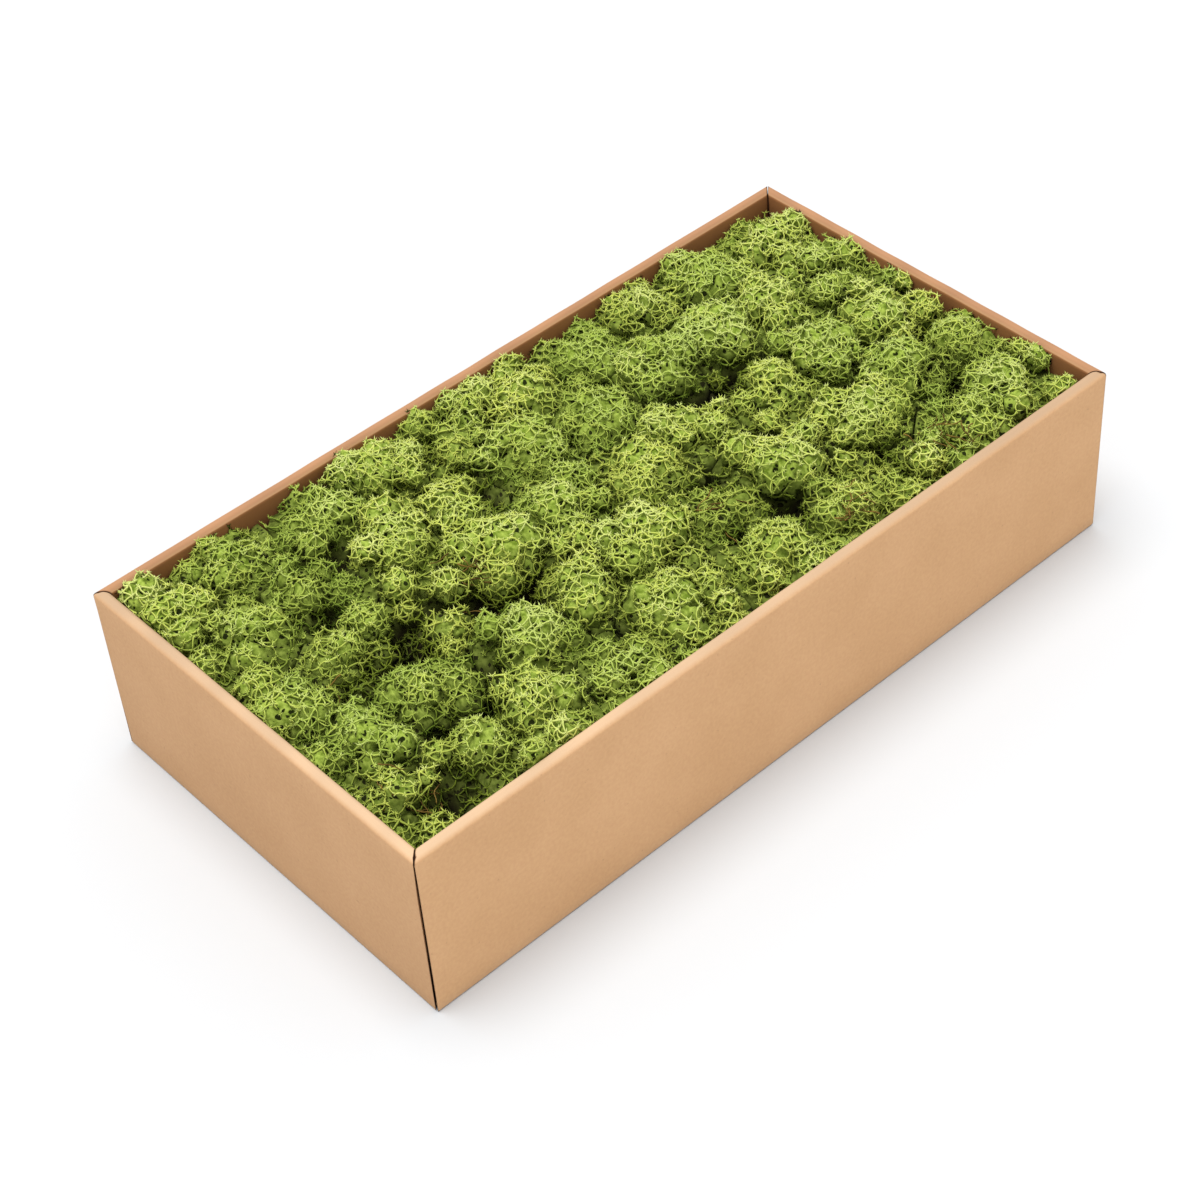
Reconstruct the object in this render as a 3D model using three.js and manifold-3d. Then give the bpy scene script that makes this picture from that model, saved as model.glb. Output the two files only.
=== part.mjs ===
// A kraft cardboard tray packed with cushions of preserved reindeer moss.
// Millimetres, +Z up, origin at the middle of the tray's underside, +X along the long side.
import * as THREE from "three";
import { ConvexHull } from "three/addons/math/ConvexHull.js";
import { mergeVertices } from "three/addons/utils/BufferGeometryUtils.js";
import Module from "manifold-3d";

const wasm = await Module();
wasm.setup();

// Driving dimensions of the tray
const trayLength = 340;
const trayWidth = 180;
const trayHeight = 78;
const board = 1.6; // one thickness of fluted board
const rimWidth = 3 * board; // outer panel, pocket and inner panel
const outerFoldRadius = 1.3;
const innerFoldRadius = 2.3;
const bottomFoldRadius = 1.1;
const pocketTop = trayHeight - 2.4;
const innerPanelFoot = board + 0.5; // the inner panel ends just above the base
const seamGap = 0.9; // open seam down each corner
const rimSeamGap = 0.5; // the rims meet more closely at the mitre
const tabLength = 38; // corner tab tucked into the short wall's pocket
const tabGrip = 5; // how far the tab's root laps the long wall
const tabHeadroom = 1.2; // below the top of the pocket
const pressed = 0.05; // how far a tab is pressed into the panels beside it
const foldSteps = 4; // facets round each fold

// Driving dimensions of the moss
const columns = 10;
const rows = 5;
const cushionJitter = 6.5; // how far a cushion strays from an even grid
const cushionLift = 2.5; // how unevenly high the cushions stand
const rowShift = 0.15; // of the spacing: every other row is set off from the next
const mossGap = 0.4; // between two cushions
const wallGap = 0.3; // between a cushion and the tray
const lobesPerCushion = 7;
const lobeRadius = [5.5, 11.5];
const lobeDrop = [0, 6.5]; // how much lower a side lobe stands than the middle one
const lobeStray = 3; // of the middle lobe
const lobePress = [0.9, 1.2]; // of its radius: how far a side lobe's middle stays inside its room
const wallPress = 0.55; // of its radius: how far a lobe is pressed flat by a wall
const budsPerCushion = 5; // small lobes between the others
const budRadius = [3.4, 5.6];
const budDrop = [1, 8];
const budShare = [0.4, 1]; // of the way from the middle of the cushion to the end of its room
const wallLevel = 79; // height of the moss beside the walls
const crown = 5.5; // how much higher it stands in the middle of the tray
const rootDepth = 23; // the branching centre lies this far below the top
const packedDepth = 11; // between the lobes the moss is packed tight from this depth down
const shoulderSides = 12; // the packed stems fill their room down to here
const shoulderDrop = 0.12; // how steeply the shoulder's directions point down
const footRadius = 13;
const footSides = 7;
const tipCount = 55; // valleys between the branch tips of one cushion
const tipLength = [2, 3.6];
const tipSpread = 0.9; // how unevenly long the tips are
const lowestTip = 0.3; // cosine of the angle down to which the tips grow
const longestReach = 42; // no branch is longer than this
const reachStep = 0.5;

// The deepest gaps between cushions, some of them in a row as a winding valley: x, y, radius, depth
const hollows = [
  [-58, -22, 10, 26],
  [-76, -9, 8, 18],
  [-88, -3, 7, 14],
  [-102, -5, 9, 22],
  [-118, -9, 7, 12],
  [-133, -15, 9, 20],
  [-119, -51, 9, 20],
  [-104, -45, 7, 12],
  [-90, -40, 7, 12],
  [-137, -74, 9, 16],
  [-154, -65, 8, 14],
  [-47, -60, 6, 10],
  [22, -22, 8, 22],
  [19, -44, 8, 16],
  [37, -53, 8, 20],
  [55, -25, 7, 14],
  [-14, -45, 7, 16],
  [82, -59, 8, 18],
  [-40, 33, 8, 20],
  [-34, 52, 6, 10],
  [-27, 71, 8, 14],
  [-117, 27, 7, 16],
  [-95, 47, 7, 12],
  [48, 14, 8, 20],
  [62, 12, 6, 12],
  [76, 14, 8, 16],
  [63, 56, 8, 16],
  [91, 57, 8, 14],
  [133, -42, 8, 14],
  [142, -18, 7, 12],
];

const layoutSeed = 7;
const tipSeed = 1907;

const halfLength = trayLength / 2;
const halfWidth = trayWidth / 2;
const roomX = halfLength - rimWidth - wallGap;
const roomY = halfWidth - rimWidth - wallGap;
const footLevel = board + wallGap;

// A small repeatable random number source: each call draws one number from low to high.
function drawsFrom(seed) {
  let state = seed;
  return (low, high) => {
    state = (Math.imul(state, 1664525) + 1013904223) >>> 0;
    return low + ((high - low) * state) / 2 ** 32;
  };
}

function finish(color, roughness) {
  return new THREE.MeshStandardMaterial({ color, roughness, metalness: 0 });
}

const kraft = finish(0xd1a67b, 0.85);
const mossGreen = finish(0x86a03f, 0.95);

// Tray

// A closed geometry as a solid, with its shared vertices merged.
function solid(geometry) {
  const bare = geometry.clone();
  bare.deleteAttribute("normal");
  bare.deleteAttribute("uv");
  const merged = mergeVertices(bare, 1e-4);
  return new wasm.Manifold(
    new wasm.Mesh({
      numProp: 3,
      vertProperties: merged.attributes.position.array,
      triVerts: new Uint32Array(merged.index.array),
    }),
  );
}

function geometryOf(body) {
  const made = body.getMesh();
  const geometry = new THREE.BufferGeometry();
  geometry.setAttribute("position", new THREE.BufferAttribute(made.vertProperties, 3));
  geometry.setIndex(new THREE.BufferAttribute(made.triVerts, 1));
  geometry.computeVertexNormals();
  return geometry;
}

// Section of a wall: the outer panel, the rolled rim and the inner panel, as a hook.
// Its first coordinate runs inwards from the outer face, its second one up.
function wallSection() {
  const section = new THREE.Shape();
  section.moveTo(board, 0);
  section.lineTo(board, pocketTop - board / 2);
  section.absarc(1.5 * board, pocketTop - board / 2, board / 2, Math.PI, 0, true);
  section.lineTo(2 * board, innerPanelFoot);
  section.lineTo(rimWidth, innerPanelFoot);
  section.lineTo(rimWidth, trayHeight - innerFoldRadius);
  section.absarc(
    rimWidth - innerFoldRadius,
    trayHeight - innerFoldRadius,
    innerFoldRadius,
    0,
    Math.PI / 2,
    false,
  );
  section.absarc(
    outerFoldRadius,
    trayHeight - outerFoldRadius,
    outerFoldRadius,
    Math.PI / 2,
    Math.PI,
    false,
  );
  section.lineTo(0, bottomFoldRadius);
  section.absarc(
    bottomFoldRadius,
    bottomFoldRadius,
    bottomFoldRadius,
    Math.PI,
    1.5 * Math.PI,
    false,
  );
  section.closePath();
  return section;
}

// The section carried along one side of the tray, its ends cut to the mitre and held off by the seam.
function wall(half, offset, turn) {
  const geometry = new THREE.ExtrudeGeometry(wallSection(), {
    depth: 1,
    bevelEnabled: false,
    curveSegments: foldSteps,
  });
  const place = geometry.attributes.position;
  for (let i = 0; i < place.count; i++) {
    const inwards = place.getX(i);
    const height = place.getY(i);
    const end = place.getZ(i) > 0.5 ? 1 : -1;
    const gap = height > pocketTop ? rimSeamGap : seamGap;
    const reach = half - inwards - gap * Math.SQRT1_2;
    place.setXYZ(i, end * reach, inwards - offset, height);
  }
  // Carrying the section this way round leaves its faces pointing out.
  geometry.rotateZ(turn);
  return solid(geometry);
}

// A corner tab: it grows from the long wall, folds round the corner and lies in the short wall's
// pocket. Side is 1 or -1 for its end of the long wall, and turn carries it to the other long wall.
function cornerTab(side, turn) {
  const outer = board - pressed;
  const inner = 2 * board + pressed;
  const rootX = side * (halfLength - outer - tabGrip);
  const bendX = side * (halfLength - outer - board);
  const outerX = side * (halfLength - outer);
  const innerX = side * (halfLength - inner);
  const rootY = board / 2 - halfWidth;
  const endY = outer + tabLength - halfWidth;
  const outline = new THREE.Shape();
  outline.moveTo(rootX, rootY);
  outline.lineTo(bendX, rootY);
  outline.absarc(bendX, rootY + board, board, -Math.PI / 2, side > 0 ? 0 : -Math.PI, side < 0);
  outline.lineTo(outerX, endY);
  outline.lineTo(innerX, endY);
  outline.lineTo(innerX, inner - halfWidth);
  outline.lineTo(rootX, inner - halfWidth);
  outline.closePath();
  const geometry = new THREE.ExtrudeGeometry(outline, {
    depth: pocketTop - tabHeadroom - innerPanelFoot,
    bevelEnabled: false,
    curveSegments: foldSteps,
  });
  geometry.translate(0, 0, innerPanelFoot);
  geometry.rotateZ(turn);
  return solid(geometry);
}

function tray() {
  const base = new THREE.BoxGeometry(trayLength - board, trayWidth - board, board);
  base.translate(0, 0, board / 2);
  let body = solid(base);
  body = body.add(wall(halfLength, halfWidth, 0));
  body = body.add(wall(halfLength, halfWidth, Math.PI));
  body = body.add(wall(halfWidth, halfLength, Math.PI / 2));
  body = body.add(wall(halfWidth, halfLength, -Math.PI / 2));
  for (const side of [1, -1]) {
    for (const turn of [0, Math.PI]) body = body.add(cornerTab(side, turn));
  }
  const mesh = new THREE.Mesh(geometryOf(body), kraft);
  mesh.name = "cardboard_tray";
  return mesh;
}

// Moss

// Height that the moss reaches: level beside the walls, crowned in the middle, sunk in the hollows.
function mossLevel(x, y) {
  const across = 1 - (x / halfLength) ** 4;
  const along = 1 - (y / halfWidth) ** 4;
  let level = wallLevel + crown * across * along;
  for (const [hollowX, hollowY, radius, depth] of hollows) {
    const squared = (x - hollowX) ** 2 + (y - hollowY) ** 2;
    level -= depth * Math.exp(-squared / radius ** 2);
  }
  return level;
}

// Middles of the cushions, on a grid of staggered rows that is shaken a little.
function cushionMiddles(draw) {
  const middles = [];
  for (let row = 0; row < rows; row++) {
    for (let column = 0; column < columns; column++) {
      const shift = row % 2 ? rowShift : -rowShift;
      const x = (((column + 0.5 + shift) / columns) * 2 - 1) * roomX;
      const y = (((row + 0.5) / rows) * 2 - 1) * roomY;
      middles.push([
        x + draw(-cushionJitter, cushionJitter),
        y + draw(-cushionJitter, cushionJitter),
      ]);
    }
  }
  return middles;
}

// Distance at which a direction leaves the room that its neighbours and the walls give a cushion.
// A lobe that a wall presses flat may have its own round outline as far as pressed behind the wall.
function roomDistance(root, direction, neighbours, pressed = 0) {
  let limit = Infinity;
  for (const [x, y] of neighbours) {
    const between = Math.hypot(x - root.x, y - root.y);
    const towards = ((x - root.x) * direction.x + (y - root.y) * direction.y) / between;
    if (towards > 0) limit = Math.min(limit, (between - mossGap) / 2 / towards);
  }
  const toWall = (reach, start, step) => (reach + pressed - Math.sign(step) * start) / Math.abs(step);
  if (direction.x !== 0) limit = Math.min(limit, toWall(roomX, root.x, direction.x));
  if (direction.y !== 0) limit = Math.min(limit, toWall(roomY, root.y, direction.y));
  return limit;
}

// The round lobes of one cushion: one on top, a ring of others that reach to the end of its room,
// and small buds between them.
function cushionLobes(middle, neighbours, draw) {
  const lobes = [];
  const turn = draw(0, 2 * Math.PI);
  const lift = draw(-cushionLift, cushionLift);
  const addLobe = (angle, radius, drop, reachOf) => {
    const outwards = new THREE.Vector3(Math.cos(angle), Math.sin(angle), 0);
    const place = new THREE.Vector3(...middle, 0);
    const free = roomDistance(place, outwards, neighbours, wallPress * radius);
    place.addScaledVector(outwards, reachOf(free));
    place.z = mossLevel(place.x, place.y) + lift - radius - drop;
    lobes.push({ place, radius });
  };
  for (let k = 0; k < lobesPerCushion; k++) {
    const angle = turn + ((k + draw(-0.25, 0.25)) * 2 * Math.PI) / (lobesPerCushion - 1);
    const radius = draw(...lobeRadius);
    const stray = draw(0, lobeStray);
    const press = draw(...lobePress);
    const drop = draw(...lobeDrop);
    if (k === 0) addLobe(angle, radius, 0, () => stray);
    else addLobe(angle, radius, drop, (free) => free - press * radius);
  }
  for (let k = 0; k < budsPerCushion; k++) {
    const angle = draw(0, 2 * Math.PI);
    const radius = draw(...budRadius);
    const share = draw(...budShare);
    const drop = draw(...budDrop);
    addLobe(angle, radius, drop, (free) => free * share);
  }
  return lobes;
}

// Evenly spread directions from straight up down to the lowest tip, each shaken a little.
function tipDirections(draw) {
  const directions = [];
  const golden = Math.PI * (3 - Math.sqrt(5));
  for (let i = 0; i < tipCount; i++) {
    const up = 1 - ((1 - lowestTip) * (i + 0.5)) / tipCount;
    const around = i * golden + draw(-0.12, 0.12);
    const flat = Math.sqrt(1 - up * up);
    directions.push(new THREE.Vector3(flat * Math.cos(around), flat * Math.sin(around), up));
  }
  return directions;
}

// Distance from the root, in one direction, to the last point that lies in a lobe or in the
// packed moss between and below the lobes.
function mossDistance(root, direction, lobes) {
  let far = 0;
  const point = new THREE.Vector3();
  for (let reach = 0; reach < longestReach; reach += reachStep) {
    point.copy(root).addScaledVector(direction, reach);
    const packed = point.z < mossLevel(point.x, point.y) - packedDepth;
    if (packed || lobes.some(({ place, radius }) => point.distanceTo(place) < radius)) far = reach;
  }
  return far;
}

// Level directions round the root, each shaken a little.
function ring(sides, draw) {
  const directions = [];
  for (let k = 0; k < sides; k++) {
    const around = ((k + draw(-0.2, 0.2)) * 2 * Math.PI) / sides;
    directions.push(new THREE.Vector3(Math.cos(around), Math.sin(around), 0));
  }
  return directions;
}

// One cushion: a bundle of stems that stands on the base, fills its room and spreads into lobes,
// with a pointed branch tip raised on every facet between three valleys of the lobes' surface.
function cushion(name, middle, neighbours, lobes, draw) {
  const root = new THREE.Vector3(...middle, mossLevel(...middle) - rootDepth);
  const reaching = (direction, change) => {
    const open = mossDistance(root, direction, lobes) + change;
    return direction.clone().multiplyScalar(Math.min(open, roomDistance(root, direction, neighbours)));
  };
  const valleys = tipDirections(draw);
  const shoulder = ring(shoulderSides, draw).map((level) => level.setZ(-shoulderDrop).normalize());
  const foot = ring(footSides, draw).map((level) => {
    const radius = Math.min(footRadius, roomDistance(root, level, neighbours));
    return level.multiplyScalar(radius).setZ(footLevel - root.z);
  });
  const directions = [...valleys, ...shoulder, ...foot.map((point) => point.clone().normalize())];
  const points = [
    ...valleys.map((direction) => reaching(direction, -draw(...tipLength))),
    ...shoulder.map((direction) => reaching(direction, 0)),
    ...foot,
  ];
  const triangles = [];
  for (const face of new ConvexHull().setFromPoints(directions).faces) {
    const edge = face.edge;
    const corners = [edge.prev, edge, edge.next].map(({ vertex }) => directions.indexOf(vertex.point));
    const [a, b, c] = corners;
    if (Math.max(...corners) >= tipCount) {
      triangles.push(a, b, c);
      continue;
    }
    const direction = new THREE.Vector3();
    for (const corner of corners) direction.add(directions[corner]);
    const tip = points.push(reaching(direction.normalize(), draw(-tipSpread, tipSpread))) - 1;
    triangles.push(a, b, tip, b, c, tip, c, a, tip);
  }
  const geometry = new THREE.BufferGeometry().setFromPoints(points);
  geometry.setIndex(triangles);
  geometry.computeVertexNormals();
  const mesh = new THREE.Mesh(geometry, mossGreen);
  mesh.name = name;
  mesh.position.copy(root);
  return mesh;
}

function moss() {
  const cushions = new THREE.Group();
  const layout = drawsFrom(layoutSeed);
  const tips = drawsFrom(tipSeed);
  const middles = cushionMiddles(layout);
  middles.forEach((middle, i) => {
    const name = "moss_cushion_" + String(i + 1).padStart(2, "0");
    const neighbours = middles.filter((other) => other !== middle);
    const lobes = cushionLobes(middle, neighbours, layout);
    cushions.add(cushion(name, middle, neighbours, lobes, tips));
  });
  return cushions;
}

const part = new THREE.Group();
part.add(tray());
part.add(moss());

export default part;
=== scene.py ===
"""A kraft cardboard tray packed with cushions of preserved reindeer moss, on a pale studio floor."""

import math

import bpy
import numpy as np
from mathutils import Matrix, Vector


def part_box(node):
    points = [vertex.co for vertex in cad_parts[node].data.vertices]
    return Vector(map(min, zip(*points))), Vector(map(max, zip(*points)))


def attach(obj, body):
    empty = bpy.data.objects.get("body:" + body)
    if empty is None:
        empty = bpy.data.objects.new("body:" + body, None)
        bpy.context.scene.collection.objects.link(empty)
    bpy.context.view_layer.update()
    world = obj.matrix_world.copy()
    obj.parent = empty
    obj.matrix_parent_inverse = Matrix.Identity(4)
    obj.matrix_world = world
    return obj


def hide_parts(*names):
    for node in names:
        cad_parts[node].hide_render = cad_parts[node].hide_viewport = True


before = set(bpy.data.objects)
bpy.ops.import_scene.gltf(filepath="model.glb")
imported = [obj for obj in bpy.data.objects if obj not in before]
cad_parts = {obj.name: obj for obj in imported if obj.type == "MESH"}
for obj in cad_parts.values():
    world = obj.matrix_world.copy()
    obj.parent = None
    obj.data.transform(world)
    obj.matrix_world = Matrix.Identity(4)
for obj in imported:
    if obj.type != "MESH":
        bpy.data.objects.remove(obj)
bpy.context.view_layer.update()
mm = 0.001

# The tray's walls. One blank of fluted kraft board: each wall stands up from the base, rolls over
# at the rim and comes down again inside as a second panel. The long walls run right to the
# corners, where they turn into tabs. The short walls cover the tabs up to a narrow open seam.
half_length, half_width, tray_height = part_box("cardboard_tray")[1]
board = 1.6 * mm
rim_width = 3 * board
outer_fold = 1.9 * mm
inner_fold = 2.2 * mm
corner_fold = 0.3 * mm
rim_slope = 0.35 * mm  # the rim is pressed down a little towards its outer fold
bottom_fold = 1.1 * mm
pocket_top = tray_height - 2.4 * mm
inner_panel_foot = board + 0.5 * mm
seam_gap, seam_narrow, seam_run = 1.1 * mm, 0.35, 22 * mm  # the seam closes to a third at the rim
rim_gap = 0.35 * mm
mitre_foot, mitre_run = 2.6 * mm, 1.4 * mm  # where under the rim the mitre starts, and over what height
nick_depth, nick_place, nick_width = 0.9 * mm, 1.3 * mm, 0.45 * mm  # torn out where the rims meet
tab_start, tab_length, tab_top, tab_play = 7 * mm, 38 * mm, pocket_top - 1.2 * mm, 0.1 * mm
station_count, end_crowding, cut_station = 63, 0.35, 0.9965  # the last ring but one lies close to the cut
bulge_size, bulge_inset, bulge_waves, face_depth = 0.35 * mm, 0.15 * mm, (15, 60), 2.2 * mm
sag_size, sag_rise, sag_lean, sag_waves, sag_run = 0.16 * mm, 0.1 * mm, 0.6, (60, 260), 4 * mm
# The rims are painted pale all along, a painted highlight; the bottom folds are rubbed pale, as wear.
rim_highlight_run, rim_highlight = (1.7 * mm, 0.4 * mm), 0.9
rubbed_fold, rubbed_fold_height, rubbed_fold_width = 0.35, 0.5 * mm, 0.8 * mm
inner_edge = (0.7 * mm, 1.2 * mm)  # the painted shade and painted warm shade inside start this far behind and under the rim
rim_light_drift, rim_light_waves = 0.06, (4, 30)
# Painted shade: full at the cut ends and tabs, a share on the inner panels; painted warm shade on the inner
# panels.
cut_shade, inner_shade, inner_warm_shade = 1.0, 0.6, 0.85


def arc(middle, radius, start, end, steps):
    """Points on a circle: middle + radius * (cos a, sin a), for angles a from start to end in degrees."""
    angle = np.radians(np.linspace(start, end, steps + 1))
    return np.array(middle) + radius * np.stack([np.cos(angle), np.sin(angle)], -1)


def line(start, end, steps):
    """Points evenly spread on a straight line, both ends left out."""
    share = np.arange(1, steps)[:, None] / steps
    return np.array(start) * (1 - share) + np.array(end) * share


def wall_section():
    """The hook-shaped section as a closed loop of (inwards from the outer face, height)."""
    top = tray_height - rim_slope
    loop = [
        arc((bottom_fold, bottom_fold), bottom_fold, 270, 180, 5),
        line((0, bottom_fold), (0, top - outer_fold), 16),
        arc((outer_fold, top - outer_fold), outer_fold, 180, 96, 8),
        arc((rim_width - inner_fold, tray_height - inner_fold), inner_fold, 92, 0, 9),
        line((rim_width, tray_height - inner_fold), (rim_width, inner_panel_foot), 14),
        [(rim_width, inner_panel_foot), (2 * board, inner_panel_foot)],
        line((2 * board, inner_panel_foot), (2 * board, pocket_top - board / 2), 4),
        arc((1.5 * board, pocket_top - board / 2), board / 2, 0, 180, 6),
        line((board, pocket_top - board / 2), (board, 0), 4),
        [(board, 0)],
    ]
    return np.concatenate([np.asarray(points, float) for points in loop])


def wall_end(section, kind, draw):
    """How far each point of the section stops short of the corner: a mitre, with a small torn gap at
    the rim, and below it the rounded edge of a long wall or the open seam before a short one."""
    inwards, height = section.T
    nick = nick_depth * np.exp(-(((inwards - nick_place) / nick_width) ** 2)) * draw.uniform(0.2, 1.0)
    mitre = inwards + (rim_gap + nick) * math.sqrt(0.5)
    if kind == "long":
        rounding = np.clip(1 - inwards / corner_fold, 0, 1)
        below = inwards + corner_fold * (1 - np.sqrt(1 - rounding**2))
    else:
        opening = np.clip((tray_height - height) / seam_run, 0, 1)
        below = inwards + seam_gap * (seam_narrow + (1 - seam_narrow) * opening)
    rim_share = np.clip((height - (tray_height - mitre_foot)) / mitre_run, 0, 1)
    return below * (1 - rim_share) + mitre * rim_share


def ripple(along, height, draw, size, waves):
    """A sum of slow waves along and up the panel, from -size to size."""
    total = np.zeros(np.broadcast(along, height).shape)
    for _ in range(4):
        turns = draw.uniform(*waves) * draw.choice([-1, 1])
        total = total + np.cos(turns * along + draw.uniform(2, 14) * height + draw.uniform(0, 6.3))
    return size * total / 4


def wall_mesh(half, offset, turn, kind, tone, draw):
    """The section carried along one side, each of its points from minus to plus its own reach. The
    face bulges by slow waves, and the rim sags by shorter ones and leans out as it does."""
    section = wall_section()
    inwards, height = section.T
    even = np.linspace(-1, 1, station_count - 2)
    stations = np.sin(even * math.pi / 2) * end_crowding + even * (1 - end_crowding)
    stations = np.sort(np.append(stations, (cut_station, -cut_station)))
    left = half - wall_end(section, kind, draw)
    right = half - wall_end(section, kind, draw)
    reach = np.where(stations[:, None] < 0, left, right)
    along = stations[:, None] * reach
    free = np.sin(np.pi * np.clip(height / tray_height, 0, 1)) * (1 - stations[:, None] ** 2)
    outside = np.clip(1 - inwards / face_depth, 0, 1)
    bulge = outside * (ripple(along, height, draw, bulge_size, bulge_waves) - bulge_inset) * free
    rim_share = np.clip((height - (tray_height - sag_run)) / sag_run, 0, 1)
    sag = ripple(along, 0 * height, draw, sag_size, sag_waves) * rim_share * (1 - stations[:, None] ** 8)
    y = inwards - offset + bulge - sag_lean * sag * outside
    z = height + np.minimum(sag, sag_rise) * (height > pocket_top)
    count = len(section)
    points = np.stack(np.broadcast_arrays(along, y, z), -1).reshape(-1, 3)
    across = np.arange(count)
    row = np.arange(station_count - 1)[:, None] * count
    after = (across + 1) % count
    faces = np.stack([row + across, row + after, row + count + after, row + count + across], -1)
    ends = [list(across[::-1]), list(across + (station_count - 1) * count)]
    light_and_wear = [np.broadcast_to(share, (station_count, count)).reshape(-1)
            for share in painted_light_and_wear(section, stations[:, None], tone, draw)]
    cosine, sine = round(math.cos(turn)), round(math.sin(turn))
    turned = points @ np.array([[cosine, sine, 0], [-sine, cosine, 0], [0, 0, 1]])
    return turned, faces.reshape(-1, 4), ends, light_and_wear


def painted_light_and_wear(section, stations, tone, draw):
    """How far the board is painted pale, a painted highlight along its rim and wear along its bottom
    fold; how far it is darker, on its face by the wall's tone and as a painted shade at its cut ends,
    inside and on its rim; and how far it carries painted warm shade inside and on its rim."""
    inwards, height = section.T
    # Pale: a painted highlight along every rim, and wear along the bottom fold.
    highlight_foot, highlight_top = rim_highlight_run
    rim = np.clip((height - (tray_height - highlight_foot)) / (highlight_foot - highlight_top), 0, 1)
    uneven = ripple(stations, 0 * height, draw, rim_light_drift, rim_light_waves)
    bottom = rubbed_fold * np.exp(-(((height - rubbed_fold_height) / rubbed_fold_width) ** 2))
    pale = np.clip(rim * (rim_highlight + uneven) + bottom * (inwards < board), 0, 1)
    rim_left, rim_right, face_top, face_foot, rim_warm_shade = tone
    along_rim = rim_left + (rim_right - rim_left) * (stations + 1) / 2 + uneven
    down_face = face_foot + (face_top - face_foot) * height / tray_height
    behind, under = inner_edge
    inside = (inwards > rim_width - behind) & (height < tray_height - under)
    # Painted shade inside the tray and along each rim as the wall's tone says; the face darker by its tone,
    # more towards its foot.
    dark = np.where(inside, inner_shade, rim * along_rim + (1 - rim) * down_face)
    # Painted warm shade: orange-brown inside the tray, and on the rims as the wall's tone says.
    painted_warm_shade = np.where(inside, inner_warm_shade, rim * rim_warm_shade) + 0 * stations
    # The cut ends get full painted shade, which darkens the seams at the corners.
    cut = (np.abs(stations) > 1 - 1e-9) & (inwards > 0)
    return pale * ~cut, np.where(cut, cut_shade, np.clip(dark, 0, 1)), painted_warm_shade


def new_mesh(name, points, faces, extra_faces=()):
    """A mesh from an array of points and arrays of faces with three or four corners each."""
    corners = [np.asarray(group, np.int32) for group in faces]
    corners += [np.array([face], np.int32) for face in extra_faces]
    sizes = np.concatenate([np.full(len(group), group.shape[1]) for group in corners])
    mesh = bpy.data.meshes.new(name)
    mesh.vertices.add(len(points))
    mesh.vertices.foreach_set("co", np.asarray(points, np.float32).reshape(-1))
    mesh.loops.add(int(sizes.sum()))
    mesh.loops.foreach_set("vertex_index", np.concatenate([group.reshape(-1) for group in corners]))
    mesh.polygons.add(len(sizes))
    mesh.polygons.foreach_set("loop_start", (np.cumsum(sizes) - sizes).astype(np.int32))
    mesh.polygons.foreach_set("use_smooth", np.ones(len(sizes), bool))
    mesh.update(calc_edges=True)
    return mesh


def new_piece(name, mesh, material):
    """The mesh as a piece of the object, which rides on the tray's body."""
    piece = bpy.data.objects.new(name, mesh)
    bpy.context.collection.objects.link(piece)
    mesh.materials.append(material)
    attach(piece, "root")
    return piece


def prism(outline, low, high):
    """A closed outline in the plane, given anticlockwise, raised from one height to another."""
    count = len(outline)
    ring = np.arange(count)
    after = (ring + 1) % count
    points = np.concatenate([np.c_[outline, np.full(count, low)], np.c_[outline, np.full(count, high)]])
    sides = np.stack([ring, after, after + count, ring + count], -1)
    return points, sides, [list(ring[::-1]), list(ring + count)]


def corner_tab(side_x, side_y):
    """A tab: it leaves the long wall, turns round the corner and lies in the short wall's pocket."""
    bend = (half_length - 2 * board, -half_width + 2 * board)
    outline = np.concatenate([
        [(half_length - tab_start, -half_width + 0.6 * board)],
        arc(bend, 1.4 * board, -90, 0, 6),
        [(half_length - 0.6 * board, -half_width + tab_length)],
        [(half_length - 2 * board, -half_width + tab_length)],
        [(half_length - 2 * board, -half_width + 2 * board)],
        [(half_length - tab_start, -half_width + 2 * board)],
    ])
    outline[:, 0] = np.minimum(outline[:, 0], half_length - board - tab_play)
    outline = outline * (side_x, side_y)
    return outline if side_x * side_y > 0 else outline[::-1]


def new_material(name, roughness, specular):
    """A material with a plain shader, as itself, its node tree and its shader."""
    material = bpy.data.materials.new(name)
    material.use_nodes = True
    shader = material.node_tree.nodes["Principled BSDF"]
    shader.inputs["Roughness"].default_value = roughness
    shader.inputs["Specular IOR Level"].default_value = specular
    return material, material.node_tree, shader


def noise(tree, scale, detail=2, output="Fac"):
    """Cloudy noise that is fixed to the piece."""
    place = tree.nodes.new("ShaderNodeTexCoord")
    texture = tree.nodes.new("ShaderNodeTexNoise")
    texture.inputs["Scale"].default_value = scale
    texture.inputs["Detail"].default_value = detail
    tree.links.new(place.outputs["Object"], texture.inputs["Vector"])
    return texture.outputs[output]


def ramp(tree, value, stops):
    """Colours along a value, from the first stop to the last."""
    node = tree.nodes.new("ShaderNodeValToRGB")
    for stop, (position, colour) in zip(node.color_ramp.elements, (stops[0], stops[-1])):
        stop.position, stop.color = position, (*colour, 1)
    for position, colour in stops[1:-1]:
        node.color_ramp.elements.new(position).color = (*colour, 1)
    tree.links.new(value, node.inputs["Fac"])
    return node.outputs["Color"]


def attribute(tree, name):
    """A value that the mesh holds at each of its points."""
    node = tree.nodes.new("ShaderNodeAttribute")
    node.attribute_name = name
    return node.outputs["Fac"]


def mixed(tree, share, first, second, blend="MIX"):
    """The second colour over the first by a share. Each of the three is a socket or a constant."""
    node = tree.nodes.new("ShaderNodeMix")
    node.data_type, node.blend_type = "RGBA", blend
    for socket, value in ((node.inputs[0], share), (node.inputs[6], first), (node.inputs[7], second)):
        if isinstance(value, bpy.types.NodeSocket):
            tree.links.new(value, socket)
        else:
            socket.default_value = value
    return node.outputs[2]


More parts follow.
